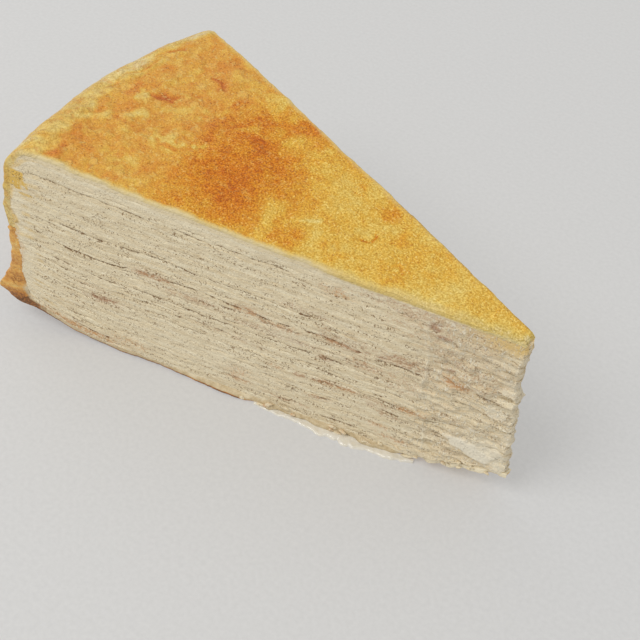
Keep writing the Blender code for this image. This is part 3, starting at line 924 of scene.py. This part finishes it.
CREASES = (
    (109.6, 3.6, 107.2, 4.8, 0.55, 0.46), (107.2, 4.8, 105, 5.2, 0.5, 0.46),
    (104, 17.2, 101.6, 17, 0.55, 0.28), (101.6, 17, 98.8, 15.4, 0.5, 0.3),
    (118.3, 5.8, 117.2, 9.4, 0.55, 0.26), (117.2, 9.4, 116.6, 13.4, 0.5, 0.26),
    (119.3, -2.4, 118.6, 3, 0.5, 0.2), (46.4, -0.6, 44.2, 2.2, 0.35, 0.32),
    (104.2, 9.2, 101.8, 10.4, 0.45, 0.16), (98.4, 1.6, 96, 3, 0.45, 0.12), (37, -4.4, 35, -2.8, 0.35, 0.14),
    (56, 9.4, 54.2, 10.6, 0.35, 0.12), (119.8, 0.2, 119.2, 2, 0.55, 0.3),
    (118.9, 14.4, 118, 16.2, 0.5, 0.24), (117.6, 17.6, 116.8, 19.4, 0.55, 0.28),
    (113.6, -26.6, 113.4, -24.6, 0.6, 0.18), (114.8, -22, 114.3, -20.2, 0.6, 0.16),
    (114.2, -18, 114, -16.4, 0.55, 0.14), (116.4, -11.8, 115.8, -9.8, 0.5, 0.14),
    (104.4, 6.4, 103.2, 8, 0.45, 0.26), (107.8, 11.4, 106, 12.4, 0.45, 0.16),
    (109, -8.4, 107, -7.6, 0.4, 0.12), (113, 4.6, 112, 6, 0.4, 0.1),
)


def strokes_at(strokes, x, y, crispness, combine=np.maximum):
    """Strength of the strokes at places of the top skin."""
    total = np.zeros(np.shape(x))
    ragged = 1.0 + 0.3 * (crispness - 1.0) * noise(stacked(x, y, 0), 1.4, 70)
    for start_x, start_y, end_x, end_y, half_width, strength in strokes:
        run_x, run_y = end_x - start_x, end_y - start_y
        share = held(((x - start_x) * run_x + (y - start_y) * run_y) / (run_x ** 2 + run_y ** 2))
        distance = np.hypot(x - start_x - share * run_x, y - start_y - share * run_y)
        total = combine(total, strength * held(crispness * ragged * bump(distance, half_width)))
    return total


def rim_margin(reach, turn):
    """The pale wrinkled margin where the top skin rolls over the shoulder, from 0 to 1."""
    wobble = noise(stacked(turn * 33, 0, 0), 3.5, 71) * 1.3
    return ramp(117.2, 119.4, reach + wobble + 0.5 - 1.5 * turn)


def blistered(place, reach):
    """Where the top skin rose in small blisters, from 0 to 1."""
    return held(2.4 * noise(place, 2.4, 90) - 0.4) * ramp(84, 104, reach)


def top_browning(flat, warped, place, reach, turn, margin, to_cut):
    """How browned the top skin is, from 0 for pale yellow to 1 for dark orange."""
    value = blend(0.37, 0.57, ramp(50, 78, reach)) - 0.05 * ramp(90, 100, reach)
    value = value + strokes_at(BROWN_STROKES, *warped, 1.15, np.add) + 0.045 * noise(flat, 7, 74)
    coarse = blend(0.75, 1.0, ramp(60, 90, reach))
    value = value + coarse * waves(flat, (0.045, 2.6, 75), (0.045, 1.1, 76)) - 0.07 * blistered(place, reach)
    value = value + 0.12 * bump(reach - 115, 1.6) * ramp(-0.2, 0.7, noise(flat, 3, 78))
    rim_value = 0.28 - 0.13 * ramp(121, 125, reach) - 0.28 * ramp(-0.25, 0.1, turn) * bump(reach - 121, 2)
    rim_value = rim_value + waves(flat, (0.12, 2.4, 77), (0.08, 6, 69))
    value = blend(value, rim_value, margin * 0.9) - strokes_at(PALE_STROKES, *warped, 1.9)
    value = value - strokes_at(NET_STROKES, *warped, 1.3) * held(0.2 + 1.6 * noise(flat, 1.3, 79))
    value = value + strokes_at(CREASES, *warped, 1.4)
    value = value - (0.14 + 0.10 * ramp(62, 12, reach)) * bump(to_cut, 1.6) * (turn < 0)
    return held(value - 0.25 * bump(reach - TIP_STOP_TOP, 1.5))


def top_relief(warped, place, reach, margin):
    """How far the top skin's surface stands out of its plain form."""
    x, y, height = np.moveaxis(place, -1, 0)
    relief = waves(place, (0.16, 9, 81), (0.10, 3.6, 82), (0.05, 1.4, 83))
    relief = relief + 0.55 * strokes_at(PALE_STROKES, *warped, 1.4) - 1.1 * strokes_at(CREASES, *warped, 1.2)
    beside = warped[0] + 0.8, warped[1]
    relief = relief + 0.5 * strokes_at(CREASES, *beside, 1.2) + 0.22 * blistered(place, reach)
    wrinkles = 0.24 * noise(stacked(x, y * 0.55, height * 1.2), 2.4, 84)
    wrinkles = wrinkles + waves(place, (0.15, 1.3, 86), (0.16, 4.5, 85))
    outer = ramp(120.5, 123.5, reach) * ramp(44, 48, height)
    return (relief + margin * wrinkles) * (1.0 - 0.6 * outer)


SEAM_FROM_SHARE = 0.8
SEAM_ROUNDING = 0.9
# Rectangles of the texture for a skin: its outer side gets nearly all of the room
SKIN_RECTS = (
    (0.0, 0.78, 1.0, 0.07), (0.0, 0.86, 1.0, 0.07), (0.0, 0.94, 0.9, 0.05), (0.0, 0.0, 1.0, 0.77),
    (0.91, 0.94, 0.04, 0.05), (0.96, 0.94, 0.04, 0.05),
)


def skin_lattice(columns, across, rows):
    """A skin's quads and texture places, and its corners' share along the outline, turn and level in it."""
    counts = (sum(columns), across, len(rows) - 1)
    steps, quads, places = box_lattice(counts, SKIN_RECTS)
    crowded = np.sin(np.linspace(-1.0, 1.0, across + 1) * math.pi / 2.0 * CROWDING)
    turn = (crowded / math.sin(math.pi / 2.0 * CROWDING))[steps[:, 1]]
    return quads, places, steps[:, 0] / counts[0], turn, np.array(rows)[steps[:, 2]]


def ragged_end(share, turn, level, depth, seed):
    """Unevenness of the skins' ends at the seam."""
    return 0.5 * noise(stacked(turn * 33, level, depth), 2, seed) * ramp(0.93, 1.0, share)


def edge_drop(distance, radius):
    """How far a rounded edge lies below the surface, at a distance from the side face."""
    return round_off(radius - distance, radius)


def seam_drop(share, distance):
    """How far a skin's rounded end lies below its surface, at a distance from the seam."""
    return edge_drop(np.where(share > SEAM_FROM_SHARE, distance, np.inf), SEAM_ROUNDING)


def distance_to_cut(reach, turn):
    return (1.0 - np.abs(turn)) * SLICE_ANGLE / 2.0 * reach


def make_top_skin(material):
    """The browned skin on the top, over the shoulder and down the round side to the seam."""
    quads, places, share, turn, level = skin_lattice(TOP_COLUMNS, TOP_ACROSS, TOP_ROWS)
    reach, height, out, up = top_line(share, turn)
    x, y = reach * np.cos(turn * SLICE_ANGLE / 2.0), reach * np.sin(turn * SLICE_ANGLE / 2.0)
    flat, place = stacked(x, y, 0), stacked(x, y, height)
    warped = x + 1.1 * noise(flat, 3, 72), y + 1.1 * noise(flat, 3, 73)
    margin = rim_margin(reach, turn)
    to_cut = distance_to_cut(reach, turn)
    hanging = ramp(120, 125, reach)
    tip_skin = ramp(24, 9, reach)
    nearer = ramp(54, 42, reach)

    thickness = TOP_SKIN + GAP + 0.4 * skin_relief(reach, turn) + top_relief(warped, place, reach, margin)
    thickness = thickness - edge_drop(to_cut, blend(0.4, 1.2, ramp(62, 12, reach)))
    thickness = thickness - edge_drop(reach - TIP_STOP_TOP, 1.1) * 0.8
    thickness = np.maximum(thickness - seam_drop(share, height - seam(turn)), 0.35)
    within = stacked(reach, level, turn * 1000)
    relief = cut_waves(reach, height, np.sign(turn)) + 0.03 * noise(within, 0.9, 88)
    overhang = 0.18 * ramp(66, 46, reach) * ramp(7, 15, reach)
    overhang = overhang * (0.8 + 0.4 * noise(stacked(reach, turn * 1000, 0), 5, 87))
    relief = relief + level * (0.07 * noise(within, 1.3, 46) + overhang)
    offset = blend(-SKIN_OVERLAP, thickness, level)
    lifted = height + up * offset + ragged_end(share, turn, level, 0, 89)
    points = in_space(reach + out * offset, lifted, turn, relief)

    depth = (1.0 - level) * (1.0 - 0.9 * hanging) * (1.0 - 0.75 * tip_skin) * (1.0 - 0.6 * nearer)
    band = to_cut + waves(stacked(reach, turn * 5, 0), (0.25, 3, 39), (0.12, 0.9, 40))
    band_width = blend(1.7, 2.4, ramp(60, 40, reach) * ramp(10, 18, reach))
    edge = ramp(band_width, -0.3, band) * np.where(turn < 0, 1.0, 0.6) * (1.0 - 0.8 * hanging)
    edge = edge * (1.0 - 0.52 * nearer) * (1.0 - 0.25 * ramp(34, 22, reach)) * (1.0 - 0.75 * tip_skin)
    browning = top_browning(flat, warped, place, reach, turn, margin, to_cut)
    browning = browning - (1.0 - level) * (0.5 * tip_skin + 0.15 * hanging)
    corner = ramp(-0.92, -0.97, turn) * ramp(120, 123, reach)
    browning = browning + 0.32 * corner * bump(height - 47, 3)
    crinkle = held(0.12 + 0.75 * ramp(84, 100, reach) + 0.3 * margin)
    fields = {"browning": browning, "depth": depth, "crinkle": crinkle, "margin": margin, "edge": edge}
    piece = make_piece("top_skin", [(points, quads, places, fields)], material)
    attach(piece, "root")
    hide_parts("top_crepe")


def blisters(paint, size):
    """Small raised flakes with a sharp outline, and a darker ring of painted shade next to each."""
    shift = paint.node("TexNoise", {"Vector": paint.place, "Scale": 1.0 / (1.3 * MM), "Detail": 2.0}, "Color")
    warp = {0: shift, 1: (4.0 * MM,) * 3, 2: paint.place}
    warped = paint.node("VectorMath", warp, "Vector", operation="MULTIPLY_ADD")
    away = paint.node("TexVoronoi", {"Vector": warped, "Scale": 1.0 / (size * MM)}, "Distance")
    cell_colour = Wire(paint, away.socket.node.outputs["Color"])
    chosen = paint.node("SeparateColor", {"Color": cell_colour}, "Red").rescale(0.52, 0.70)
    flake = away.rescale(0.50, 0.30) * chosen
    return flake, (away.rescale(0.64, 0.50) * chosen - flake).held()


def golden_material():
    """Browned crepe skin: fine moist granules with painted glints, from pale yellow to dark orange, and a
    beige cut edge.
    """
    paint = Paint("golden_skin_browned")
    crinkle, margin = paint.field("crinkle"), paint.field("margin")
    granules, coarse = paint.grain(0.42), paint.grain(0.9)
    grainy = crinkle.between(1.0, 0.5)
    value = paint.field("browning") + granules.spread(-0.12, 0.12) * grainy
    value = (value + coarse.spread(-0.04, 0.04)).held()
    skin = paint.ramp(value, (
        (0.0, (228, 208, 148)), (0.2, (222, 192, 100)), (0.4, (219, 171, 62)), (0.55, (214, 150, 42)),
        (0.7, (210, 130, 22)), (0.85, (200, 108, 8)), (1.0, (182, 84, 2)),
    ))
    lightness = granules.spread(0.21, -0.26) * grainy
    skin = skin.mixed(1.0, lightness + 1.0, "MULTIPLY")
    flecks = paint.grain(1.3, distortion=0.6).rescale(0.60, 0.68) * crinkle.between(0.15, 0.5)
    skin = skin.mixed(flecks, (232, 204, 122))
    hollow = paint.grain(2.0, 3).rescale(0.48, 0.36) * crinkle
    skin = skin.mixed(hollow * margin.between(0.2, 0.6), (206, 142, 52))
    skin = skin.mixed(crinkle * 0.13, (216, 182, 134))
    # Painted highlights: small bright glints on the granules, warmer where browned
    painted_glint = paint.grain(0.48, 0).rescale(0.67, 0.75) * (grainy * 0.60)
    skin = skin.mixed(painted_glint, paint.mix(value.rescale(0.45, 0.75), (250, 222, 132), (240, 168, 84)))
    speck = paint.grain(0.5, 1) + value.rescale(0.4, 0.85, -0.09, 0.07)
    skin = skin.mixed(speck.rescale(0.61, 0.69, 0.0, 0.6), (150, 76, 8))
    blistering = crinkle.rescale(0.35, 0.8)
    flake, ring_shade = (wire * blistering for wire in blisters(paint, 3.2))
    # Flakes paler, with painted shade as a darker ring at their edge
    skin = skin.mixed(flake * 0.30, (236, 202, 112)).mixed(ring_shade * 0.22, (182, 110, 30))
    crease = paint.creases(2.4, 0.46, 0.54) * margin
    skin = skin.mixed(crease * 0.28, (196, 136, 46))
    blotch = paint.grain(0.9, distortion=0.8).rescale(0.62, 0.72, 0.0, 0.4)
    skin = skin.mixed(blotch * crinkle, (168, 104, 30))

    edge = paint.field("edge") + granules.spread(-0.07, 0.07)
    skin = skin.mixed(edge.rescale(0.08, 0.65), (217, 190, 122))
    skin = skin.mixed(edge.rescale(0.6, 1.0), (219, 201, 156))
    flesh = paint.mix(coarse.spread(), (231, 215, 181), (223, 205, 167))
    inside = (paint.field("depth") + granules.spread(-0.06, 0.06)).rescale(0.14, 0.32)
    rough = paint.grain(1.1, 3).spread(0.26, 0.44)
    rough = rough + inside * (0.6 - rough)
    height = granules * grainy + coarse * 0.9 + flecks * 0.5 - hollow * 0.4 + flake * 0.40 - crease * 0.35
    return paint.finish(skin.mixed(inside, flesh), rough, height, 0.4, 0.75, 0.18)


# Base skin

def make_base_skin(material):
    """The browned crepe underneath, with a lip at its fold and a wall up the round side to the seam."""
    quads, places, share, turn, level = skin_lattice(BASE_COLUMNS, BASE_ACROSS, BASE_ROWS)
    reach, height, out, up = base_line(share, turn)
    wall = ramp(118, STACK_RADIUS, reach)
    side = np.sign(turn)
    across = turn * reach * SLICE_ANGLE / 2.0
    place = stacked(across, height, reach)
    wrinkles = noise(stacked(across * 0.35 + height * 0.3, height * 0.9, reach), 2.4, 91)
    wrinkles = 0.32 * (1.0 - 2.0 * np.abs(wrinkles)) + 0.30 * noise(place, 6, 92)
    fold = 1.06 * LIP_REACH * (lip(height + LIP_DROP, turn) / LIP_REACH) ** LIP_SHARPNESS
    fold = fold * ramp(117, STACK_RADIUS, reach)
    relief = wall * (wrinkles + 0.05 * noise(place, 1.1, 93)) + 0.20 * fold * noise(place, 2.4, 94)
    under = 0.12 * (1.0 + noise(stacked(reach, across, 0), 3, 95)) * (1.0 - wall)
    thickness = GAP + blend(BASE_SKIN, WALL_SKIN, ramp(FLAT_TO, STACK_RADIUS, reach)) - under + relief
    thickness = thickness + 0.8 * wall * bump(height - 23, 5)
    thickness = thickness - edge_drop(distance_to_cut(reach, turn), 0.5)
    thickness = np.maximum(thickness - seam_drop(share, seam(turn) - height), 0.3)
    offset = blend(-SKIN_OVERLAP, thickness, level)

    cut_relief = cut_waves(reach, height, side) + 0.10 * noise(stacked(reach, height, side * 1000), 0.9, 98)
    squeezed = 0.9 * ramp(24, 38, reach) * ramp(92, 72, reach) * (turn < 0)
    tattered = 0.5 * noise(stacked(reach, 0, side * 1000), 2.4, 97) * ramp(84, 66, reach)
    flare = bump(height - LIP_HEIGHT + LIP_DROP, 3.5) * wall * (turn < 0)
    cut_relief = cut_relief + (squeezed + tattered + flare) * level
    lifted = height + up * offset + ragged_end(share, turn, level, 5, 96)
    points = in_space(reach + out * offset + fold * level, lifted, turn, cut_relief)
    points[:, 2] = np.maximum(points[:, 2], 0.0)

    edge_browned = ramp(56, 72, reach) * ramp(0.75, 1.0, level)
    rolled_in = ramp(0.34, 0.14, level) * ramp(15, 11, height) * wall
    depth = np.maximum(1.0 - level, (np.abs(turn) > 0.985) * (1.0 - edge_browned)) * (1.0 - wall)
    browning = 0.45 + waves(place, (0.2, 5, 99), (0.15, 1.6, 100))
    # Darker low on the wall, below the lip's fold: browned crepe, with painted shade under the fold
    browning = browning + (0.12 * bump(height - 7, 3) - 0.25 * wrinkles + 0.40 * ramp(10, 7.5, height)) * wall
    browning = (browning + 0.55 * edge_browned * (1.0 - wall)) * blend(0.15, 1.0, ramp(14, 34, reach))
    fields = {"browning": held(browning), "depth": np.maximum(depth, 0.8 * rolled_in), "wall": wall}
    piece = make_piece("base_skin", [(points, quads, places, fields)], material)
    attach(piece, "root")
    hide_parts("base_crepe")


def browned_material():
    """The base crepe: brown outside with darker freckles and creases, paler inside."""
    paint = Paint("browned_crepe_skin")
    browning = paint.field("browning")
    freckles = paint.grain(0.7, 3)
    crease = paint.creases(3.2, 0.47, 0.53) * paint.field("wall") * paint.grain(5.0).rescale(0.5, 0.62)
    value = browning + freckles.spread(-0.22, 0.22)
    skin = paint.ramp((value + crease * 0.25).held(), (
        (0.0, (230, 194, 118)), (0.3, (220, 168, 88)), (0.6, (198, 136, 64)), (0.85, (162, 104, 50)),
        (1.0, (122, 80, 42)),
    ))
    flesh = paint.mix(paint.grain(1.2, 3).spread(), (214, 196, 160), (188, 165, 124))
    flesh = paint.mix(browning.rescale(0.08, 0.35), (232, 219, 188), flesh)
    inside = (paint.field("depth") + freckles.spread(-0.12, 0.12)).rescale(0.3, 0.6)
    rough = paint.grain(1.5, 3).spread(0.32, 0.52)
    return paint.finish(skin.mixed(inside, flesh), rough, freckles - crease * 0.8, 0.4, 0.7, 0.35)


# Cream pressed out in front of the base, and flakes that the knife left on the lower edge

FILM_COUNTS = (150, 10, 1)
FILM_WIDTHS = ((23.0, 27.0, 33.0, 40.0, 46.0, 52.0, 58.0, 64.0), (0.0, 1.4, 1.0, 2.2, 1.7, 0.7, 0.9, 0.0))
FILM_UNDER = 0.9
FILM_RECTS = (
    (0.0, 0.9, 1.0, 0.02), (0.0, 0.93, 1.0, 0.02), (0.0, 0.5, 1.0, 0.38), (0.0, 0.0, 1.0, 0.49),
    (0.0, 0.96, 0.4, 0.03), (0.5, 0.96, 0.4, 0.03),
)
FLAKE_COUNTS = (6, 6, 6)
FLAKE_RECTS = [(0.34 * (side % 3), 0.5 * (side // 3), 0.3, 0.45) for side in range(6)]
FLAKE_SPAN = (6.0, 70.0)
FLAKE_COUNT = 26
SQUEEZED_FROM = 34.0


def make_film():
    """A thin wet film of cream on the floor, in front of the lower edge."""
    steps, quads, places = box_lattice(FILM_COUNTS, FILM_RECTS)
    reach = blend(FILM_WIDTHS[0][0], FILM_WIDTHS[0][-1], steps[:, 0] / FILM_COUNTS[0])
    ragged = waves(stacked(reach, 0, 0), (1.0, 2.2, 111), (0.6, 0.8, 112))
    width = np.maximum(np.interp(reach, *FILM_WIDTHS) * (1.0 + 0.2 * ragged), 0.05)
    off = blend(-FILM_UNDER, width, 1.0 - steps[:, 1] / FILM_COUNTS[1])
    from_edge = held(2.5 * (width - off) / (width + FILM_UNDER))
    thick = 0.45 * np.sqrt(held(1.0 - (1.0 - from_edge) ** 2))
    lumps = 1.0 + 0.3 * noise(stacked(reach, off, 0), 2.2, 113)
    height = np.where(steps[:, 2] == 1, 0.03 + thick * lumps, 0.0)
    points = in_space(reach, height, -np.ones(len(reach)), FILM_UNDER + off)
    points[:, 2] = np.maximum(height, 0.0)

    paint = Paint("pressed_cream")
    colour = paint.mix(paint.grain(1.2, 3).spread(), (226, 221, 209), (218, 211, 194))
    rough = paint.grain(0.8).spread(0.06, 0.16)
    material = paint.finish(colour, rough, paint.grain(0.7), 0.3, 0.5, 0.5)
    piece = make_piece("pressed_cream", [(points, quads, places, {})], material)
    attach(piece, "root")


def make_flakes(material):
    """Small torn bits of crepe and cream on the lower edge of the front cut."""
    draw = random.Random(SEED + 2)
    steps, quads, places = box_lattice(FLAKE_COUNTS, FLAKE_RECTS)
    cube = steps / 3.0 - 1.0
    ball = cube / np.linalg.norm(cube, axis=1)[:, None]
    parts = []
    for index in range(FLAKE_COUNT):
        reach = draw.uniform(*FLAKE_SPAN)
        squeezed = reach > SQUEEZED_FROM
        base = float(stack_floor(reach)) + draw.uniform(-1.0, 1.4)
        size = [draw.uniform(0.5, 1.3), draw.uniform(0.25, 0.5), draw.uniform(0.2, 0.45)]
        lumpy = ball * (1.0 + 0.35 * noise(ball + index * NOISE_PLACE, 0.9, 114)[:, None]) * size
        tilt = draw.uniform(-0.5, 0.5)
        along = lumpy[:, 0] * math.cos(tilt) - lumpy[:, 2] * math.sin(tilt)
        rise = lumpy[:, 0] * math.sin(tilt) + lumpy[:, 2] * math.cos(tilt)
        out = 0.15 - lumpy[:, 1] + 0.5 * squeezed
        points = in_space(reach + along, np.maximum(base + rise, 0.05), -np.ones(len(ball)), out)
        brown = draw.choice((0.0, 0.0, 0.3, 0.7)) * (1.0 if squeezed else 0.3)
        fields = {"seam_shade": 0.0, "brown": brown, "tint": 0.7, "smear": 0.3, "gold": 0.0, "tip": 0.0}
        parts.append((points, quads, places, fields))
    piece = make_piece("edge_flakes", parts, material)
    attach(piece, "root")


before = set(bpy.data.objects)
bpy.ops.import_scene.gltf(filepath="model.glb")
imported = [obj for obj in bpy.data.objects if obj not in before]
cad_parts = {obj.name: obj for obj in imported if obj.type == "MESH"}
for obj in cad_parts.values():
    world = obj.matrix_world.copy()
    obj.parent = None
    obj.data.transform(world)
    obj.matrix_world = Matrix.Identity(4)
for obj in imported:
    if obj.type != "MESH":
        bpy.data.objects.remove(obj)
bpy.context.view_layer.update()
AXIS = slice_axis()
make_surroundings()
make_camera()
crumb_material = make_stack()
make_top_skin(golden_material())
make_base_skin(browned_material())
make_film()
make_flakes(crumb_material)
